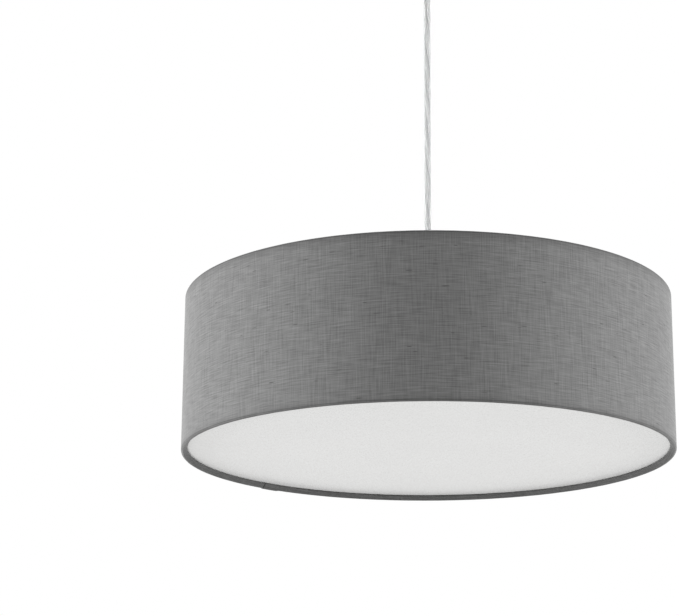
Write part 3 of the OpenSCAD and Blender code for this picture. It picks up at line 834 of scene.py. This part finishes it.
def threadedRod(radius, depth, pitch, length, bore=None):
    # a rolled thread with rounded crests, wound past both ends and cut to length; it stands on z = 0
    root, shoulder = radius - depth, radius - 0.08
    tooth = [(root, 0), (shoulder, pitch * 0.42), (radius, pitch * 0.5), (shoulder, pitch * 0.58),
             (root, pitch)]
    piece = windProfile([(x, z - 1.5 * pitch) for x, z in tooth], pitch, length, 18)
    cutAcross(piece, (0, 0, 0), (0, 0, -1))
    cutAcross(piece, (0, 0, length * mm), (0, 0, 1))
    tidyNormals(piece)
    if bore:
        cutBore(piece, bore, length)
        tidyNormals(piece)
    return piece


def makeThreads():
    low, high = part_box("stem_tube")
    stem = threadedRod(radius=high.x / mm, length=(high.z - low.z) / mm, **threads["stem"])
    placeCopies(stem, [standing((0, 0, low.z))], "threadedStem", "lamp", "zinc", ["stem_tube"])

    low, high = solidBoxes("socket_nipples")[0]
    nipple = threadedRod(length=(high.x - low.x) / mm, **threads["nipple"])
    places = [alongSocket(i, low.x, (low.z + high.z) / 2) for i in range(3)]
    placeCopies(nipple, places, "socketNipples", "lamp", "zinc", ["socket_nipples"])

    boxes = solidBoxes("crossbar_studs")
    stud = threadedRod(length=(boxes[0][1].z - boxes[0][0].z) / mm, **threads["stud"])
    places = [standing(((low.x + high.x) / 2, 0, low.z)) for low, high in boxes]
    placeCopies(stud, places, "crossbarStuds", "ceiling_mount", "zinc", ["crossbar_studs"])


makeThreads()
print("threads made")


screwShell = {               # an E26 holder's shell, in millimetres
    "pitch": 3.63,
    "middle": 13.4,          # radius of the thread's middle line
    "wave": 0.4,             # the thread's reach to both sides of it
    "floorHole": 6.0,
    "lip": 1.035,            # how far the mouth turns out, as a share of its radius
    "wall": 0.35,
    "steps": 36,
}


def makeScrewShells():
    # thin sheet: a round thread rolled into a tube, a floor with a hole, and a lip turned out at the mouth
    low, high = solidBoxes("screw_shell_1")[0]
    length = (high.x - low.x) / mm
    pitch, middle = screwShell["pitch"], screwShell["middle"]
    curve = [(middle - screwShell["wave"] * math.cos(2 * math.pi * i / 10), pitch * (i / 10 - 1.4))
             for i in range(11)]
    piece = windProfile(curve, pitch, length, screwShell["steps"])
    cutAcross(piece, (0, 0, 0), (0, 0, -1), fill=False)
    cutAcross(piece, (0, 0, length * mm), (0, 0, 1), fill=False)
    for end, size in ((0, screwShell["floorHole"] / middle), (length * mm, screwShell["lip"])):
        activate(piece)
        bpy.ops.object.mode_set(mode="EDIT")
        bpy.ops.mesh.select_mode(type="VERT")
        bpy.ops.mesh.select_all(action="DESELECT")
        mesh = bmesh.from_edit_mesh(piece.data)
        for vertex in mesh.verts:
            vertex.select_set(abs(vertex.co.z - end) < 0.005 * mm)
        mesh.select_flush_mode()
        bmesh.update_edit_mesh(piece.data)
        bpy.ops.mesh.extrude_edges_move(TRANSFORM_OT_translate={"value": (0, 0, 0)})
        bpy.ops.transform.resize(value=(size, size, 1), center_override=(0, 0, end))
        bpy.ops.object.mode_set(mode="OBJECT")
    tidyNormals(piece)
    applyModifier(piece, "SOLIDIFY", thickness=screwShell["wall"] * mm, offset=1)
    for i in range(3):
        number = str(i + 1)
        shell = copyPiece(piece, alongSocket(i, low.x, (low.z + high.z) / 2))
        finishPiece(shell, "screwShell" + number, finishes["shell_aluminium"], "lamp",
                    ["screw_shell_" + number], 50)
    bpy.data.objects.remove(piece, do_unlink=True)


makeScrewShells()
print("screw shells made")


gripCap = {
    "steps": 40,
    # section from the flared mouth up to the dome, the dome's arc as its middle and radius, and the section
    # from the cable's hole back down inside; all in millimetres
    "mouth": [(7.4, 0), (7.8, 0.4), (7.8, 1.2)],
    "dome": ((4.8, 7.7), 3),
    "inside": [(3.9, 10.7), (3.45, 9.6), (3.2, 8.7), (3.2, 7.1), (5.7, 7.1), (5.7, 0), (7.4, 0)],
    # finger flutes
    "from": 1.5 * mm,
    "to": 7.5 * mm,
    "outside": 7.6 * mm,
    "inset": 0.16 * mm,
    "depth": 0.35 * mm,
}


def makeGripCaps():
    # one cap at each end of the cable: a domed cap nut with a flared mouth and finger flutes
    dome = arcPoints(*gripCap["dome"], 0, 90, 6)
    cap = turnProfile(gripCap["mouth"] + dome + gripCap["inside"], gripCap["steps"])
    pressColumns(cap, gripCap)
    spare = copyPiece(cap, Matrix.Identity(4))
    upper = standing((0, 0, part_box("gland_cap")[1].z), upsideDown=True)
    lower = standing((0, 0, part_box("grip_cap")[0].z))
    placeCopies(cap, [upper], "glandCap", "ceiling_mount", "satin_nickel", ["gland_cap"])
    placeCopies(spare, [lower], "gripCap", "lamp", "satin_nickel", ["grip_cap"])


makeGripCaps()
print("grip caps made")


connector = {
    "steps": 36,
    # section in millimetres: the wires' hole, the skirt, the cone and its rounded tip
    "section": [(0, 10), (2.4, 10), (2.4, 0), (5.7, 0), (6, 0.4), (6, 3.6), (5.8, 4.2), (5.6, 5),
                (4.15, 16.4), (3.7, 17.6), (2.6, 18), (0, 18)],
    # grooves between the ribs
    "from": 6 * mm,
    "to": 15 * mm,
    "outside": 3.5 * mm,
    "inset": 0.12 * mm,
    "depth": 0.4 * mm,
    "place": (16.6 * mm, 18.6 * mm, -13 * mm),
    "splay": 42,             # degrees from straight back
}


def makeWireConnectors():
    # twist-on connectors: a skirt, a ribbed cone to grip and a rounded tip
    cone = turnProfile(connector["section"], connector["steps"])
    pressColumns(cone, connector)
    x, y, z = connector["place"]
    places = []
    for side in (-1, 1):
        splay = Matrix.Rotation(math.radians(90 - side * connector["splay"]), 4, "Z")
        places.append(Matrix.Translation((side * x, y, z)) @ splay @ Matrix.Rotation(math.pi / 2, 4, "Y"))
    placeCopies(cone, places, "wireConnectors", "ceiling_mount", "connector_plastic", ["wire_connectors"])


makeWireConnectors()
print("wire connectors made")


weld = {
    "arms": (60, 180, 300),  # degrees, where the spider's arms stand
    "beads": 5,              # in each ripple
    "from": 10.6 * mm,       # from the hub's middle
    "to": 15.4 * mm,
    "size": 0.95 * mm,
    "shape": (1.15, 1, 0.75),
    "unevenness": 0.12,
    "sunk": 0.35 * mm,       # how much of a bead has run into the hub
    "raised": 0.3 * mm,      # of its middle over the hub
    "beside": 0.9,           # from the arm's middle line, as a share of the arm's radius
}


def makeWelds():
    # a ripple of beads down both sides of each spider arm where it lies on the hub
    clearSelection()
    bpy.ops.mesh.primitive_uv_sphere_add(segments=14, ring_count=8, radius=weld["size"])
    bead = bpy.context.object
    editAll(bead)
    bpy.ops.transform.resize(value=weld["shape"])
    bpy.ops.object.mode_set(mode="OBJECT")
    cutAcross(bead, (0, 0, -weld["sunk"]), (0, 0, -1))
    tidyNormals(bead)

    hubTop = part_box("spider_hub")[1].z
    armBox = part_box("spider_arms")
    armRadius = (armBox[1].z - armBox[0].z) / 2
    places = []
    for azimuth in weld["arms"]:
        turn = Matrix.Rotation(math.radians(azimuth), 4, "Z")
        for side in (-1, 1):
            for i in range(weld["beads"]):
                along = weld["from"] + (weld["to"] - weld["from"]) * i / (weld["beads"] - 1)
                size = 1 + weld["unevenness"] * math.sin(i * 2.3 + azimuth + side)
                at = Matrix.Translation((along, side * armRadius * weld["beside"], hubTop + weld["raised"]))
                places.append(turn @ at @ Matrix.Scale(size, 4))
    placeCopies(bead, places, "weldBeads", "lamp", "ring_steel")


makeWelds()
print("welds made")


studio = {
    "floorDrop": 1.05,       # under the lamp's hem
    "floorSize": 40,
    "room": 1.0,             # strength of the white all round
    # softboxes at both sides; each one's y, towards the camera, and its share of the power
    "left": (-0.17, 1.03),
    "right": (-0.25, 0.86),
    "size": 1.3,
    "power": 25,
    "distance": 2.4,
    "height": 0.1,           # over the middle of the shade
    "spread": 80,
}


def paintedFloor():
    # emulsion paint, rolled on: matt, with a faint drift of tone from one roller width to the next
    material, tree, shader = newMaterial("paleFloorPainted")
    place = addNode(tree, "ShaderNodeTexCoord", {}, {})
    rolled = addNode(tree, "ShaderNodeTexNoise", {}, {
        "Vector": place.outputs["Object"], "Scale": 1 / (330 * mm), "Detail": 2.0})
    tone = addNode(tree, "ShaderNodeMix", {"data_type": "RGBA"}, {
        "Factor": rolled.outputs["Fac"], 6: linear("#e2e2e1"), 7: linear("#e8e8e7")})
    setInputs(tree, shader, {"Base Color": tone.outputs[2], "Roughness": 0.8})
    return material


def addSoftbox(name, side, y, share):
    low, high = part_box("shade_liner")
    middle = Vector((0, 0, (low.z + high.z) / 2))
    data = bpy.data.lights.new(name, "AREA")
    data.shape = "SQUARE"
    data.size = studio["size"]
    data.energy = studio["power"] * share
    data.spread = math.radians(studio["spread"])
    made = bpy.data.objects.new(name, data)
    bpy.context.scene.collection.objects.link(made)
    made.location = middle + Vector((side * studio["distance"], y, studio["height"]))
    made.rotation_euler = (middle - made.location).to_track_quat("-Z", "Y").to_euler()
    made.visible_camera = False


def makeStudio():
    addSoftbox("leftSoftbox", -1, *studio["left"])
    addSoftbox("rightSoftbox", 1, *studio["right"])

    clearSelection()
    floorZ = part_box("bottom_hem")[0].z - studio["floorDrop"]
    bpy.ops.mesh.primitive_plane_add(size=studio["floorSize"], location=(0, 0, floorZ))
    floor = bpy.context.object
    floor.name = "studioFloor"
    floor.data.materials.append(paintedFloor())

    # a plain white room all round
    world = bpy.data.worlds.new("whiteRoom")
    bpy.context.scene.world = world
    world.use_nodes = True
    backdrop = world.node_tree.nodes["Background"]
    backdrop.inputs["Color"].default_value = (1, 1, 1, 1)
    backdrop.inputs["Strength"].default_value = studio["room"]
    bpy.context.scene.view_settings.view_transform = "Standard"     # so that plain white stays plain white


makeStudio()
print("studio made")
